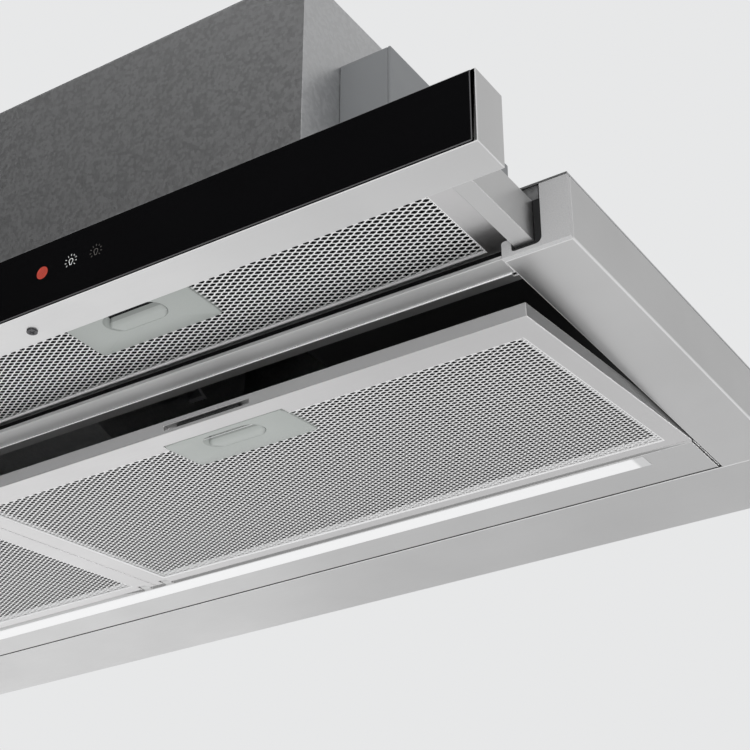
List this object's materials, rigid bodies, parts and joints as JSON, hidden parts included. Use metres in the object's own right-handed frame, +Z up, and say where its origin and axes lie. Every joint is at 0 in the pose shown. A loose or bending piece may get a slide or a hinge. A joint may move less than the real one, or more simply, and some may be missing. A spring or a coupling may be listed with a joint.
{
  "type": "pull out range hood",
  "caption": "Slim pull-out range hood: a glass-fronted carriage slides from a flat steel housing with hinged grease filters below and a motor box with a round outlet above.",
  "frame": {"origin": "middle of the rectangle of cabinet screw holes, on the housing's top face", "axes": "+Z up, +Y towards the wall, +X to the right as seen from the front"},
  "size_m": [0.898, 0.4303, 0.3657],
  "materials": {
    "housing_steel": "satin, brushed along the width",
    "box_steel": "plain zinc-coated sheet",
    "cap_plastic": "fine grain, metallic grey",
    "lens": "opal",
    "circuit_board": "satin",
    "black_plastic": "matt",
    "grey_plastic": "matt",
    "motor_metal": "satin",
    "screw_steel": "satin",
    "flap_aluminium": "mill finish",
    "carriage_steel": "satin",
    "dark_steel": "matt black",
    "black_glass": "deep black, back-painted",
    "filter_frame": "satin",
    "filter_mesh": "expanded mesh",
    "handle_plastic": "fine satin"
  },
  "bodies": {
    "housing": {"side_profile_right": "housing_steel", "side_profile_left": "housing_steel", "end_cap_right": "cap_plastic", "end_cap_left": "cap_plastic", "front_crossbar": "housing_steel", "led_panel": "housing_steel", "led_lens": "lens", "led_board": "circuit_board", "wall_strip": "housing_steel", "chassis_tray": "housing_steel", "motor_box": "box_steel", "motor_box_lid": "box_steel", "duct_collar": "black_plastic", "fan_scroll": "box_steel", "motor_bracket": "box_steel", "fan_motor": "motor_metal", "control_box": "grey_plastic", "control_box_cover": "grey_plastic", "terminal_block": "grey_plastic", "led_driver": "grey_plastic", "cable_gland": "black_plastic", "slide_rail_right": "box_steel", "slide_rail_left": "box_steel", "channel_seal_right": "black_plastic", "channel_seal_left": "black_plastic", "carriage_sensor": "black_plastic", "housing_screws": "screw_steel"},
    "fan": {"fan_wheel": "box_steel", "motor_shaft": "motor_metal"},
    "flap_front": {"flap_front": "flap_aluminium"},
    "flap_rear": {"flap_rear": "flap_aluminium"},
    "carriage": {"carriage_side_right": "carriage_steel", "carriage_side_left": "carriage_steel", "fascia_body": "carriage_steel", "fascia_glass": "black_glass", "touch_board": "circuit_board", "fascia_screws": "screw_steel", "slide_runner_right": "black_plastic", "slide_runner_left": "black_plastic", "carriage_rear_rail": "dark_steel", "carriage_magnet": "black_plastic"},
    "front_filter_right": {"front_filter_right_frame": "filter_frame", "front_filter_right_mesh": "filter_mesh", "front_filter_right_handle": "handle_plastic"},
    "front_filter_right_latch": {"front_filter_right_latch": "handle_plastic"},
    "front_filter_left": {"front_filter_left_frame": "filter_frame", "front_filter_left_mesh": "filter_mesh", "front_filter_left_handle": "handle_plastic"},
    "front_filter_left_latch": {"front_filter_left_latch": "handle_plastic"},
    "main_filter_right": {"main_filter_right_frame": "filter_frame", "main_filter_right_mesh": "filter_mesh", "main_filter_right_handle": "handle_plastic"},
    "main_filter_right_latch": {"main_filter_right_latch": "handle_plastic"},
    "main_filter_left": {"main_filter_left_frame": "filter_frame", "main_filter_left_mesh": "filter_mesh", "main_filter_left_handle": "handle_plastic"},
    "main_filter_left_latch": {"main_filter_left_latch": "handle_plastic"}
  },
  "joints": [
    {"name": "carriage_slide", "type": "slide", "parent": "housing", "child": "carriage", "axis": [0, -1, 0], "range_m": [-0.0647, 0]},
    {"name": "fan_spin", "type": "hinge", "parent": "housing", "child": "fan", "pos_m": [0, -0.022, 0.114], "axis": [1, 0, 0], "continuous": true},
    {"name": "flap_front_hinge", "type": "hinge", "parent": "housing", "child": "flap_front", "pos_m": [0, 0.0368, 0.264], "axis": [-1, 0, 0], "range_deg": [0, 80]},
    {"name": "flap_rear_hinge", "type": "hinge", "parent": "housing", "child": "flap_rear", "pos_m": [0, 0.0432, 0.264], "axis": [1, 0, 0], "range_deg": [0, 80]},
    {"name": "front_filter_right_hinge", "type": "hinge", "parent": "carriage", "child": "front_filter_right", "pos_m": [0, -0.14, -0.021], "axis": [1, 0, 0], "range_deg": [0, 15]},
    {"name": "front_filter_right_latch_slide", "type": "slide", "parent": "front_filter_right", "child": "front_filter_right_latch", "axis": [0, -1, 0], "range_m": [0, 0.0025]},
    {"name": "front_filter_left_hinge", "type": "hinge", "parent": "carriage", "child": "front_filter_left", "pos_m": [0, -0.14, -0.021], "axis": [1, 0, 0], "range_deg": [0, 15]},
    {"name": "front_filter_left_latch_slide", "type": "slide", "parent": "front_filter_left", "child": "front_filter_left_latch", "axis": [0, -1, 0], "range_m": [0, 0.0025]},
    {"name": "main_filter_right_hinge", "type": "hinge", "parent": "housing", "child": "main_filter_right", "pos_m": [0, 0.079, -0.0345], "axis": [1, 0, 0], "range_deg": [-5.4, 80]},
    {"name": "main_filter_right_latch_slide", "type": "slide", "parent": "main_filter_right", "child": "main_filter_right_latch", "axis": [0, -0.9956, -0.0941], "range_m": [0, 0.0025]},
    {"name": "main_filter_left_hinge", "type": "hinge", "parent": "housing", "child": "main_filter_left", "pos_m": [0, 0.079, -0.0345], "axis": [1, 0, 0], "range_deg": [-5.4, 80]},
    {"name": "main_filter_left_latch_slide", "type": "slide", "parent": "main_filter_left", "child": "main_filter_left_latch", "axis": [0, -0.9956, -0.0941], "range_m": [0, 0.0025]}
  ]
}
